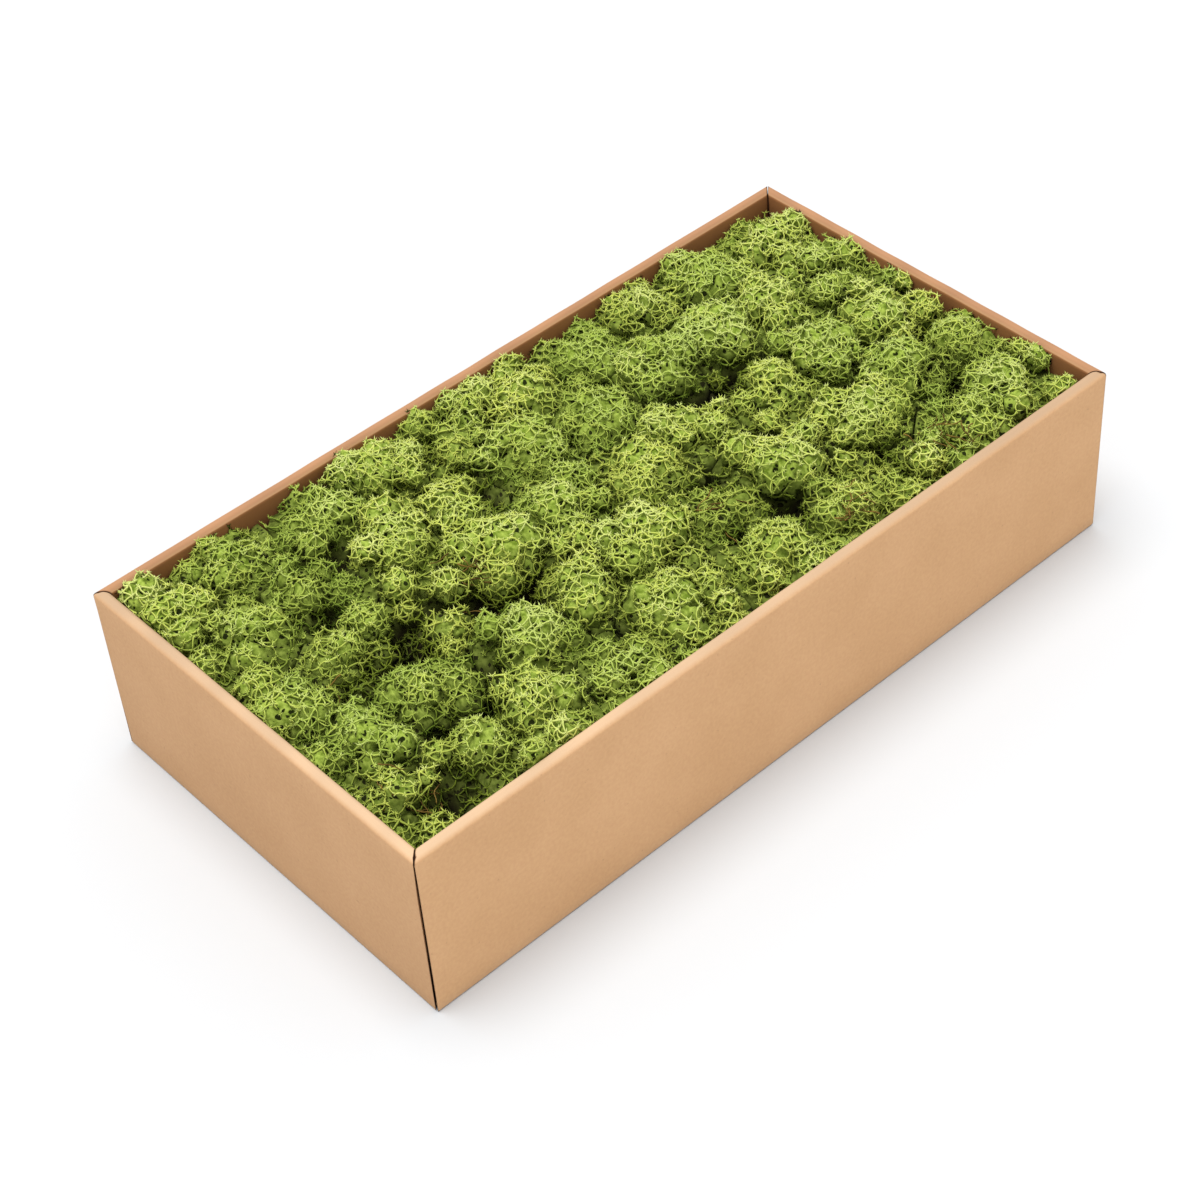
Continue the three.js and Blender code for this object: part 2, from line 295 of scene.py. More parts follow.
def finish_bumped(tree, shader, height, strength, distance):
    """Fine relief on a shader, from a height."""
    bump = tree.nodes.new("ShaderNodeBump")
    bump.inputs["Strength"].default_value = strength
    bump.inputs["Distance"].default_value = distance
    tree.links.new(height, bump.inputs["Height"])
    tree.links.new(bump.outputs["Normal"], shader.inputs["Normal"])


def kraft_material():
    """Brown kraft liner: slow clouds, fibres and fine flecks in the colour, and over them a painted
    highlight on the rims, wear on the bottom folds, painted shade, painted warm shade and darker faces.
    """
    material, tree, shader = new_material("kraft_board", 0.78, 0.25)
    clouds = ramp(tree, noise(tree, 38, 3), [(0.3, (0.605, 0.350, 0.172)), (0.7, (0.65, 0.383, 0.194))])
    fibres = ramp(tree, noise(tree, 700, 3), [(0.35, (0.475,) * 3), (0.65, (0.525,) * 3)])
    colour = mixed(tree, 1.0, clouds, fibres, "OVERLAY")
    flecks = ramp(tree, noise(tree, 620, 1), [(0.73, (0.0,) * 3), (0.8, (0.3,) * 3)])
    colour = mixed(tree, flecks, colour, (0.3, 0.16, 0.08, 1))
    # Pale over the board: a painted highlight on the rims, wear on the bottom folds.
    colour = mixed(tree, attribute(tree, "painted_highlight_and_wear"), colour, (0.50, 0.345, 0.215, 1))
    # Painted warm shade, orange-brown, inside the tray and on the back rims.
    colour = mixed(tree, attribute(tree, "painted_warm_shade"), colour, (0.62, 0.25, 0.088, 1))
    # Near black: painted shade at the cut ends, tabs, inner panels and rims; the faces darker by their
    # tone.
    colour = mixed(tree, attribute(tree, "painted_shade_and_tone"), colour, (0.05, 0.014, 0.003, 1))
    tree.links.new(colour, shader.inputs["Base Color"])
    finish_bumped(tree, shader, noise(tree, 520, 3), 0.25, 0.15 * mm)
    return material


# Tones of a wall: how much painted shade its rim has from left to right, how dark its face is at the
# top and at the foot, seen from outside, and how much painted warm shade its rim has.
front_long_tone, front_short_tone = (0.0, 0.33, 0.0, 0.04, 0.0), (0.26, 0.02, 0.16, 0.26, 0.0)
back_long_tone, back_short_tone = (0.46, 0.44, 0.0, 0.04, 0.5), (0.46, 0.46, 0.05, 0.1, 0.5)
tray_draw = np.random.default_rng(5)
tray_parts = [  # points, faces, cut ends, and painted light and wear: highlight and wear, shade and tone, warm shade
    wall_mesh(half_length, half_width, 0, "long", front_long_tone, tray_draw),
    wall_mesh(half_length, half_width, math.pi, "long", back_long_tone, tray_draw),
    wall_mesh(half_width, half_length, math.pi / 2, "short", back_short_tone, tray_draw),
    wall_mesh(half_width, half_length, -math.pi / 2, "short", front_short_tone, tray_draw),
]
for side_x in (1, -1):
    for side_y in (1, -1):
        tab = prism(corner_tab(side_x, side_y), inner_panel_foot, tab_top)
        # The tabs are painted dark all over, a painted shade seen through the corner seams.
        tray_parts.append((*tab, (0.0, cut_shade, 0.0)))
base_outline = np.array([(-1, -1), (1, -1), (1, 1), (-1, 1)]) * (half_length - board, half_width - board)
tray_parts.append((*prism(base_outline, 0, board), (0.0, 0.0, 0.0)))
tray_points, tray_faces, tray_ends, tray_light_and_wear, tray_size = [], [], [], [], 0
for points, faces, ends, light_and_wear in tray_parts:
    tray_points.append(points)
    tray_faces.append(faces + tray_size)
    tray_ends += [[corner + tray_size for corner in end] for end in ends]
    tray_light_and_wear.append([np.broadcast_to(share, len(points)) for share in light_and_wear])
    tray_size += len(points)
tray_mesh = new_mesh("kraft_tray", np.concatenate(tray_points), tray_faces, tray_ends)
for name, shares in zip(("painted_highlight_and_wear", "painted_shade_and_tone", "painted_warm_shade"), zip(*tray_light_and_wear)):
    tray_mesh.attributes.new(name, "FLOAT", "POINT").data.foreach_set("value", np.concatenate(shares))
side_counts = np.empty(len(tray_mesh.polygons), np.int32)
tray_mesh.polygons.foreach_get("loop_total", side_counts)
tray_mesh.polygons.foreach_set("use_smooth", side_counts == 4)
tray = new_piece("kraft_tray", tray_mesh, kraft_material())
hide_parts("cardboard_tray")

# The bodies of the moss cushions. Each tuft grew as one thing: stems packed tight below, spreading
# into round lobes on top. They are laid out by the same seeded rule as the frame's solids.
wall_level, crown = 79 * mm, 5.5 * mm
hollow_list = np.array([  # the deepest gaps between cushions: x, y, radius, depth
    (-58, -22, 10, 26), (-76, -9, 8, 18), (-88, -3, 7, 14), (-102, -5, 9, 22), (-118, -9, 7, 12),
    (-133, -15, 9, 20), (-119, -51, 9, 20), (-104, -45, 7, 12), (-90, -40, 7, 12), (-137, -74, 9, 16),
    (-154, -65, 8, 14), (-47, -60, 6, 10), (22, -22, 8, 22), (19, -44, 8, 16), (37, -53, 8, 20),
    (55, -25, 7, 14), (-14, -45, 7, 16), (82, -59, 8, 18), (-40, 33, 8, 20), (-34, 52, 6, 10),
    (-27, 71, 8, 14), (-117, 27, 7, 16), (-95, 47, 7, 12), (48, 14, 8, 20), (62, 12, 6, 12),
    (76, 14, 8, 16), (63, 56, 8, 16), (91, 57, 8, 14), (133, -42, 8, 14), (142, -18, 7, 12),
]) * mm
columns, rows = 10, 5
cushion_jitter, cushion_lift, row_shift = 6.5 * mm, 2.5 * mm, 0.15
moss_gap, wall_gap = 0.4 * mm, 0.3 * mm
lobe_count, bud_count = 7, 5
lobe_radius, lobe_drop, lobe_stray, lobe_press = (5.5 * mm, 11.5 * mm), 6.5 * mm, 3 * mm, (0.9, 1.2)
bud_radius, bud_drop, bud_share = (3.4 * mm, 5.6 * mm), (1 * mm, 8 * mm), (0.4, 1)
wall_press = 0.55
packed_depth = 11 * mm
room = np.array([half_length, half_width]) - rim_width - wall_gap
foot_level = board + wall_gap
knob_height, knob_rates, bump_height, bump_rate = 6.5 * mm, (3.2, 5.5), 2.6 * mm, 2.4
fold_mean = 0.64  # a folded wave's mean, about 2 / pi
body_sinks = (0.7 * mm, 1.6 * mm)
# Painted shade, with age, that darkens the moss with depth under its open top.
depth_shade_start, depth_shade_run, depth_shade_curve = 1 * mm, 17 * mm, 1.2
dome_around, dome_down, dome_reach = 18, 8, 125
heart_around, heart_ragged = 24, 1.2 * mm
heart_rings = ((0.35, 0), (0.7, 0), (0.97, 0.5 * mm), (1.0, 3 * mm))  # share of the room, drop
foot_rings = ((0.93, 0.45), (0.8, 0))  # share of the room, share of the height


def draws_from(seed):
    """The frame's seeded number source: state = state * 1664525 + 1013904223, modulo 2^32."""
    state = seed

    def draw(low, high):
        nonlocal state
        state = (state * 1664525 + 1013904223) & 0xFFFFFFFF
        return low + (high - low) * state / 2**32

    return draw


def open_level(x, y):
    """Height of the moss without its hollows: a low dome that flattens towards the walls."""
    return wall_level + crown * (1 - (x / half_length) ** 4) * (1 - (y / half_width) ** 4)


def moss_level(x, y):
    """Height of the moss: the dome, less a bell-shaped dip at each hollow."""
    x, y = np.asarray(x), np.asarray(y)
    hollow_x, hollow_y, radius, depth = hollow_list.T
    squared = (x[..., None] - hollow_x) ** 2 + (y[..., None] - hollow_y) ** 2
    return open_level(x, y) - (depth * np.exp(-squared / radius**2)).sum(-1)


def room_distance(start, directions, others, pressed=0):
    """How far each direction runs from start before it meets the planes half way to the other
    cushions or the inner faces of the tray, which a lobe's round outline may pass by pressed."""
    between = others - start[:2]
    length = np.hypot(*between.T)
    towards = directions[:, :2] @ (between / length[:, None]).T
    to_planes = np.where(towards > 1e-9, (length - moss_gap) / 2 / np.maximum(towards, 1e-9), np.inf)
    flat = np.abs(directions[:, :2])
    to_walls = (room + pressed - np.sign(directions[:, :2]) * start[:2]) / np.maximum(flat, 1e-9)
    return np.minimum(to_planes.min(1), np.where(flat > 1e-9, to_walls, np.inf).min(1))


def cushion_layout():
    """Middle of every cushion, and the place and radius of its lobes: one on top and six round it."""
    draw = draws_from(7)
    middles = []
    for row in range(rows):
        for column in range(columns):
            shift = row_shift if row % 2 else -row_shift
            x = ((column + 0.5 + shift) / columns * 2 - 1) * room[0]
            y = ((row + 0.5) / rows * 2 - 1) * room[1]
            stray_x = draw(-cushion_jitter, cushion_jitter)
            middles.append((x + stray_x, y + draw(-cushion_jitter, cushion_jitter)))
    middles = np.array(middles)
    places = np.zeros((len(middles), lobe_count + bud_count, 3))
    radii = np.zeros((len(middles), lobe_count + bud_count))
    for number, middle in enumerate(middles):
        others = np.delete(middles, number, 0)
        turn, lift = draw(0, 2 * math.pi), draw(-cushion_lift, cushion_lift)
        for lobe in range(lobe_count + bud_count):
            if lobe < lobe_count:
                angle = turn + (lobe + draw(-0.25, 0.25)) * 2 * math.pi / (lobe_count - 1)
                radius, stray = draw(*lobe_radius), draw(0, lobe_stray)
                press, drop = draw(*lobe_press), draw(0, lobe_drop)
            else:
                angle, radius = draw(0, 2 * math.pi), draw(*bud_radius)
                share, drop = draw(*bud_share), draw(*bud_drop)
            outwards = np.array([math.cos(angle), math.sin(angle), 0])
            free = room_distance(middle, outwards[None], others, wall_press * radius)[0]
            if lobe == 0:
                reach, drop = stray, 0
            elif lobe < lobe_count:
                reach = free - press * radius
            else:
                reach = free * share
            flat = middle + reach * outwards[:2]
            places[number, lobe] = (*flat, float(moss_level(*flat)) + lift - drop - radius)
            radii[number, lobe] = radius
    return middles, places, radii


middles, lobe_places, lobe_radii = cushion_layout()
cushion_count, round_count = lobe_radii.shape
moss_draw = np.random.default_rng(21)
knob_waves = moss_draw.normal(size=(cushion_count, round_count, 3, 3))
knob_waves /= np.linalg.norm(knob_waves, axis=-1, keepdims=True)
knob_waves *= moss_draw.uniform(*knob_rates, (cushion_count, round_count, 3, 1))
knob_phases = moss_draw.uniform(0, math.pi, (cushion_count, round_count, 3))
body_sink = moss_draw.uniform(*body_sinks, (cushion_count, round_count))


def lobe_surface(number, lobe, directions):
    """Radius of a knobbly lobe: its round radius, plus knobs and finer bumps on them. Each is the mean
    of three folded waves."""
    waves = directions @ knob_waves[number, lobe].T
    knobs = np.abs(np.sin(waves + knob_phases[number, lobe])).mean(-1) - fold_mean
    bumps = np.abs(np.sin(waves * bump_rate - knob_phases[number, lobe])).mean(-1) - fold_mean
    size = lobe_radii[number, lobe]
    return size + min(knob_height, 0.5 * size) * knobs + bump_height * bumps


def shade_and_age_of(points):
    """How much painted shade, with age, a point gets for its depth: 0 down to 1 mm under the moss's
    open top, and then (depth / 17 mm) ** 1.2, up to 1."""
    depth = open_level(points[:, 0], points[:, 1]) - points[:, 2] - depth_shade_start
    return np.clip(depth / depth_shade_run, 0, 1) ** depth_shade_curve


def stacked_faces(rings, around):
    """Faces of a body of level rings between a first point on top and a last one below."""
    column = np.arange(around)
    after = (column + 1) % around
    row = 1 + np.arange(rings - 1)[:, None] * around
    sides = np.stack([row + column, row + around + column, row + around + after, row + after], -1)
    last = 1 + (rings - 1) * around
    cap = np.stack([np.zeros(around, int), 1 + column, 1 + after], -1)
    floor = np.stack([np.full(around, last + around), last + after, last + column], -1)
    return sides.reshape(-1, 4), np.concatenate([cap, floor])


def dome(number, lobe):
    """A lobe's body: a sphere grid from its top down past its middle, sunk under the tips. A point is
    the lobe's place + direction * (the radius of its surface - the sink)."""
    angle = np.linspace(0, 2 * math.pi, dome_around, endpoint=False)
    polar = np.radians(dome_reach) * (np.arange(1, dome_down + 1) / dome_down)
    polar, angle = np.meshgrid(polar, angle, indexing="ij")
    ring = np.stack([np.sin(polar) * np.cos(angle), np.sin(polar) * np.sin(angle), np.cos(polar)], -1)
    directions = np.concatenate([[(0, 0, 1)], ring.reshape(-1, 3), [(0, 0, -0.6)]])
    radius = lobe_surface(number, lobe, directions) - body_sink[number, lobe]
    points = lobe_places[number, lobe] + directions * radius[:, None]
    return points, *stacked_faces(dome_down, dome_around)


def heart(number):
    """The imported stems: rings of points round the cushion's middle, each at a share of its room. The
    upper ones follow the moss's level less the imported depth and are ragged, the lower ones run down
    to the foot."""
    others = np.delete(middles, number, 0)
    angle = np.linspace(0, 2 * math.pi, heart_around, endpoint=False)
    outwards = np.stack([np.cos(angle), np.sin(angle), 0 * angle], -1)
    reach = room_distance(middles[number], outwards, others)
    rings = []
    for share, drop in heart_rings:
        flat = middles[number] + outwards[:, :2] * (reach * share)[:, None]
        ragged = moss_draw.uniform(-heart_ragged, heart_ragged, heart_around)
        rings.append(np.c_[flat, moss_level(*flat.T) - packed_depth - drop + ragged])
    rim_height = rings[-1][:, 2]
    for share, height in foot_rings:
        flat = middles[number] + outwards[:, :2] * (reach * share)[:, None]
        rings.append(np.c_[flat, foot_level + (rim_height - foot_level) * height])
    top = (*middles[number], float(moss_level(*middles[number])) - packed_depth)
    foot = (*middles[number], foot_level)
    return np.concatenate([[top], *rings, [foot]]), *stacked_faces(len(rings), heart_around)


def body_material():
    """Matted lichen under the tips: soft green with pores of painted shade between its branches, and
    painted shade, with age, that turns it brown-black below. The pores are the middles of drifted
    cells, each wider or narrower by its own cell's draw."""
    material, tree, shader = new_material("moss_matting", 0.95, 0.1)
    place = tree.nodes.new("ShaderNodeTexCoord")
    drifted = tree.nodes.new("ShaderNodeVectorMath")
    drifted.operation = "MULTIPLY_ADD"
    drifted.inputs[1].default_value = (2.6 * mm, 2.6 * mm, 2.6 * mm)
    tree.links.new(noise(tree, 330, output="Color"), drifted.inputs[0])
    tree.links.new(place.outputs["Object"], drifted.inputs[2])
    cells = tree.nodes.new("ShaderNodeTexVoronoi")
    cells.inputs["Scale"].default_value = 440
    tree.links.new(drifted.outputs["Vector"], cells.inputs["Vector"])
    pore_size = tree.nodes.new("ShaderNodeMath")
    pore_size.operation = "MULTIPLY_ADD"
    pore_size.inputs[1].default_value = -0.75
    tree.links.new(cells.outputs["Color"], pore_size.inputs[0])
    tree.links.new(cells.outputs["Distance"], pore_size.inputs[2])
    closed = tree.nodes.new("ShaderNodeMapRange")
    closed.inputs["From Min"].default_value = -0.22
    closed.inputs["From Max"].default_value = -0.12
    tree.links.new(pore_size.outputs["Value"], closed.inputs["Value"])
    green = ramp(tree, noise(tree, 520), [(0.32, (0.11, 0.165, 0.013)), (0.68, (0.32, 0.41, 0.068))])
    # The pores are painted near black, a painted shade of the holes between branches.
    colour = mixed(tree, closed.outputs["Result"], (0.010, 0.015, 0.001, 1), green)
    # Darker with depth under the open top: painted shade, with age, near black deep down.
    colour = mixed(tree, attribute(tree, "painted_shade_and_age"), colour, (0.012, 0.010, 0.003, 1))
    tree.links.new(colour, shader.inputs["Base Color"])
    finish_bumped(tree, shader, closed.outputs["Result"], 0.8, 0.6 * mm)
    return material


def kept_inside(points):
    """The same points, none of them past the tray's inner faces or under its base."""
    limit = np.array([*room, 1])
    inside = np.clip(points, -limit, limit)
    inside[:, 2] = np.maximum(inside[:, 2], foot_level)
    return inside


matting = body_material()
for number in range(cushion_count):
    parts = [heart(number)] + [dome(number, lobe) for lobe in range(round_count)]
    starts = np.cumsum([0] + [len(part[0]) for part in parts])
    points = kept_inside(np.concatenate([part[0] for part in parts]))
    faces = [group + start for part, start in zip(parts, starts) for group in part[1:]]
    mesh = new_mesh(f"moss_body_{number + 1:02d}", points, faces)
    mesh.attributes.new("painted_shade_and_age", "FLOAT", "POINT").data.foreach_set("value", shade_and_age_of(points))
    body = new_piece(mesh.name, mesh, matting)
    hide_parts(f"moss_cushion_{number + 1:02d}")

# The living tips. Every lobe is covered by whorls where a branch forks. Its arms run on to the next
# whorls as a net of soft strands, round small dark holes, and each whorl ends in a star of short
# pale points. Some arms are longer and wind over the net.
whorl_spacing, whorl_relief = 3.25 * mm, 0.55 * mm
bed_spacing, bed_reach, bed_relief = 3.8 * mm, 24 * mm, 1.5 * mm
near_reach, lobe_overlap, bed_slack, wall_slack = 34 * mm, 0.5 * mm, 3 * mm, 1.5 * mm
net_reach, net_chance = 4.8 * mm, 0.86
net_rise, net_bow = (-0.5 * mm, 0.6 * mm), 0.24
net_radii = np.array((0.52, 0.39, 0.39, 0.52)) * mm
star_points, star_chance, star_rise = 5, 0.9, (0.35, 1.5)
star_radius, star_length, star_root = 0.40 * mm, (1.3 * mm, 2.6 * mm), 0.1 * mm
runner_share, runner_length, runner_wind = 0.03, (3.5 * mm, 6.0 * mm), 1.3
runner_radii = np.array((0.30, 0.28, 0.26, 0.24, 0.20)) * mm
net_youth = np.repeat([0.82, 0.76, 0.76, 0.82], 3)  # for each point of a strand, 1 being its palest
star_youth = np.array([0.74, 0.74, 0.74, 1.05])
runner_youth = np.append(np.repeat([0.75, 0.85, 0.95, 1.0, 1.0], 3), 1.0)
ring_yellow = np.array([-0.03, 0, 0.03])  # for each side of a strand
# Painted shade on the tips: darker with depth under the open top, with age, and on whorls that face away
# from up.
age_shade, tilt_shade, runner_tilt = 0.75, 0.16, 0.2
tint_drift, runner_yellow = 0.12, 0.1


def tubes(paths, radii, pointed):
    """Closed three-sided tubes along paths with one radius a station, drawn to a point at the end if
    pointed. A ring is centre + radius * (cos a * side + sin a * over), across the path's direction."""
    count, stations = paths.shape[:2]
    rings = stations - 1 if pointed else stations
    forward = np.gradient(paths, axis=1)
    forward /= np.linalg.norm(forward, axis=-1, keepdims=True) + 1e-12
    helper = np.where(np.abs(forward[:, :1, 2:]) > 0.9, (1.0, 0, 0), (0, 0, 1.0))
    side = np.cross(forward, helper)
    side /= np.linalg.norm(side, axis=-1, keepdims=True) + 1e-12
    over = np.cross(forward, side)
    angle = np.array([0.5, 2.5, 4.5]) * math.pi / 3
    spread = np.cos(angle)[:, None] * side[:, :rings, None] + np.sin(angle)[:, None] * over[:, :rings, None]
    ring = paths[:, :rings, None] + spread * np.asarray(radii)[:rings, None, None]
    points = ring.reshape(count, -1, 3)
    if pointed:
        points = np.concatenate([points, paths[:, -1:]], 1)
    each = points.shape[1]
    start = (np.arange(count) * each)[:, None, None]
    row = np.arange(rings - 1)[:, None] * 3
    corner = np.arange(3)
    after = (corner + 1) % 3
    sides = np.stack([row + corner, row + after, row + 3 + after, row + 3 + corner], -1)
    sides = start + sides.reshape(1, -1, 4)
    last = (rings - 1) * 3
    if pointed:
        end = np.stack([last + corner, last + after, np.full(3, rings * 3)], -1)
    else:
        end = np.array([(last, last + 1, last + 2)])
    ends = start + np.concatenate([[(0, 2, 1)], end])
    return points.reshape(-1, 3), [sides.reshape(-1, 4), ends.reshape(-1, 3)], each


def spread_directions(count, draw):
    """Directions spread evenly over a sphere by the golden angle, each shaken a little."""
    step = (np.arange(count) + 0.5) / count
    up = 1 - 2 * step
    turn = np.arange(count) * math.pi * (3 - math.sqrt(5)) + draw.uniform(0, 6.3)
    flat = np.sqrt(1 - up**2)
    even = np.stack([flat * np.cos(turn), flat * np.sin(turn), up], -1)
    shaken = even + draw.normal(0, 0.6 / math.sqrt(count), even.shape)
    return shaken / np.linalg.norm(shaken, axis=-1, keepdims=True)


def level_pair(out):
    """Two directions at right angles to each other and to out."""
    helper = np.where(np.abs(out[:, 2:]) > 0.9, (1.0, 0, 0), (0, 0, 1.0))
    first = np.cross(out, helper)
    first /= np.linalg.norm(first, axis=-1, keepdims=True)
    return first, np.cross(out, first)


def runner_paths(number, lobe, starts, draw):
    """Long arms: a great circle over the lobe that winds to one side, raised over the net on its way:
    direction = cos(reach) * start + sin(reach) * (cos(turn) * first + sin(turn) * second)."""
    share = np.linspace(0, 1, len(runner_radii) + 1)
    count = len(starts)
    first, second = level_pair(starts)
    size = lobe_radii[number, lobe]
    reach = share * draw.uniform(*runner_length, (count, 1)) / size
    turn = draw.uniform(0, 6.3, (count, 1)) + share * draw.uniform(-runner_wind, runner_wind, (count, 1))
    sideways = np.cos(turn)[..., None] * first[:, None] + np.sin(turn)[..., None] * second[:, None]
    direction = np.cos(reach)[..., None] * starts[:, None] + np.sin(reach)[..., None] * sideways
    raised = (np.sin(math.pi * share) * draw.uniform(0.2, 1.0, (count, 1)) - 0.2 + 0.5 * share) * mm
    radius = lobe_surface(number, lobe, direction) + raised
    return lobe_places[number, lobe] + direction * radius[..., None]


def in_the_open(points, own=()):
    """Which points lie outside every lobe but their own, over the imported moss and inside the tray."""
    all_places, all_radii = lobe_places.reshape(-1, 3), lobe_radii.reshape(-1)
    near = np.linalg.norm(all_places - points.mean(0), axis=1) < near_reach
    near[list(own)] = False
    apart = np.linalg.norm(points[:, None] - all_places[near], axis=-1) - all_radii[near]
    keep = apart.min(1) > -lobe_overlap
    keep &= points[:, 2] > moss_level(*points[:, :2].T) - packed_depth - bed_slack
    return keep & (np.abs(points[:, :2]) < room + wall_slack).all(1)


def whorl_sites(number):
    """Where the whorls of a cushion stand, which way is out and which lobe they are on, spread over
    each lobe and the bed between the lobes. Also the paths of the long arms and their lobes."""
    sites, runners = [], []
    for lobe in range(round_count):
        own = (number * round_count + lobe,)
        radius = lobe_radii[number, lobe]
        spacing = whorl_spacing * moss_draw.uniform(0.85, 1.2)
        out = spread_directions(int(4 * math.pi * radius**2 / (0.866 * spacing**2)), moss_draw)
        out = out[out[:, 2] > -0.3]
        relief = moss_draw.uniform(-whorl_relief, whorl_relief, len(out))
        points = lobe_places[number, lobe] + out * (lobe_surface(number, lobe, out) + relief)[:, None]
        keep = in_the_open(points, own)
        sites.append((points[keep], out[keep], np.full(keep.sum(), lobe)))
        starts = out[keep][moss_draw.uniform(size=keep.sum()) < runner_share]
        paths = runner_paths(number, lobe, starts, moss_draw)
        keep = in_the_open(paths[:, 3], own) if len(paths) else np.zeros(0, bool)
        runners.append((paths[keep], np.full(keep.sum(), lobe)))
    sites.append(bed_sites(number))
    return tuple(map(np.concatenate, zip(*sites))), tuple(map(np.concatenate, zip(*runners)))


def bed_sites(number):
    """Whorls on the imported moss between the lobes: a shaken square grid at its level, facing up."""
    steps = np.arange(-bed_reach, bed_reach, bed_spacing)
    grid = np.stack(np.meshgrid(steps, steps), -1).reshape(-1, 2)
    flat = middles[number] + grid + moss_draw.uniform(-1, 1, grid.shape) * 0.4 * bed_spacing
    points = np.c_[flat, moss_level(*flat.T) - packed_depth + moss_draw.uniform(0, bed_relief, len(flat))]
    keep = np.linalg.norm(flat[:, None] - middles, axis=-1).argmin(1) == number
    keep &= (np.abs(flat) < room).all(1)
    points = points[keep]
    points = points[in_the_open(points)]
    out = np.tile((0.0, 0.0, 1.0), (len(points), 1)) + moss_draw.normal(0, 0.25, points.shape)
    out /= np.linalg.norm(out, axis=-1, keepdims=True)
    return points, out, np.full(len(points), round_count)


def net_paths(points, out, draw):
    """The net: strands between neighbours, which are pairs with no third point in the ball that has the
    pair as its diameter. A strand is the straight line plus 4 s (1 - s) * (a rise and a sideways bow)."""
    apart = np.linalg.norm(points[:, None] - points, axis=-1)
    first, second = np.nonzero(np.triu(apart < net_reach, 1))
    length = apart[first, second]
    to_middle = np.linalg.norm(((points[first] + points[second]) / 2)[:, None] - points, axis=-1)
    pair = np.arange(len(first))
    to_middle[pair, first] = to_middle[pair, second] = np.inf
    keep = (to_middle.min(1) > length / 2) & (draw.uniform(size=len(first)) < net_chance)
    first, second, length = first[keep], second[keep], length[keep, None]
    share = np.linspace(0, 1, len(net_radii))[None, :, None]
    grow = out[first] + out[second]
    grow /= np.linalg.norm(grow, axis=-1, keepdims=True) + 1e-9
    aside = np.cross(points[second] - points[first], grow)
    rise = grow * draw.uniform(*net_rise, length.shape)
    bow = aside * draw.uniform(-net_bow, net_bow, length.shape)
    paths = points[first, None] * (1 - share) + points[second, None] * share
    return paths + (4 * share * (1 - share)) * (rise + bow)[:, None], first


def star_paths(points, out, draw):
    """Short points that stand out round every whorl like a star."""
    first, second = level_pair(out)
    turn = draw.uniform(0, 6.3, (len(points), 1)) + np.arange(star_points) * 2 * math.pi / star_points
    turn = (turn + draw.normal(0, 0.35, turn.shape))[..., None]
    sideways = np.cos(turn) * first[:, None] + np.sin(turn) * second[:, None]
    away = out[:, None] * draw.uniform(*star_rise, turn.shape) + sideways
    away /= np.linalg.norm(away, axis=-1, keepdims=True)
    starts = points[:, None] - away * star_root
    paths = np.stack([starts, starts + away * draw.uniform(*star_length, turn.shape)], 2)
    keep = draw.uniform(size=turn.shape[:2]) < star_chance
    return paths[keep], np.nonzero(keep)[0]


def tip_material():
    """Branch tips: their own map runs from dark old wood, deepened by painted shade, to the pale young
    point, and from green to yellow."""
    material, tree, shader = new_material("moss_tips", 0.8, 0.15)
    chart = tree.nodes.new("ShaderNodeUVMap")
    chart.uv_map = "OFBake"
    split = tree.nodes.new("ShaderNodeSeparateXYZ")
    tree.links.new(chart.outputs["UV"], split.inputs["Vector"])
    # The map's first value is youth less painted shade, so its dark stops hold painted shade as well as old
    # wood.
    green = ramp(tree, split.outputs["X"], [
        (0.0, (0.006, 0.008, 0.001)), (0.35, (0.08, 0.125, 0.008)),
        (0.7, (0.31, 0.40, 0.065)), (1.0, (0.46, 0.545, 0.17)),
    ])
    yellow = ramp(tree, split.outputs["X"], [
        (0.0, (0.010, 0.009, 0.001)), (0.35, (0.13, 0.165, 0.012)),
        (0.7, (0.48, 0.53, 0.10)), (1.0, (0.61, 0.65, 0.26)),
    ])
    tree.links.new(mixed(tree, split.outputs["Y"], green, yellow), shader.inputs["Base Color"])
    return material


def charted(mesh, youth, tint):
    """Gives the mesh its own map: how young each point is, darkened by painted shade, and how yellow."""
    corner = np.empty(len(mesh.loops), np.int32)
    mesh.loops.foreach_get("vertex_index", corner)
    chart = np.clip(np.stack([youth, tint], -1), 0.002, 0.998)[corner]
    mesh.uv_layers.new(name="OFBake").data.foreach_set("uv", chart.astype(np.float32).reshape(-1))


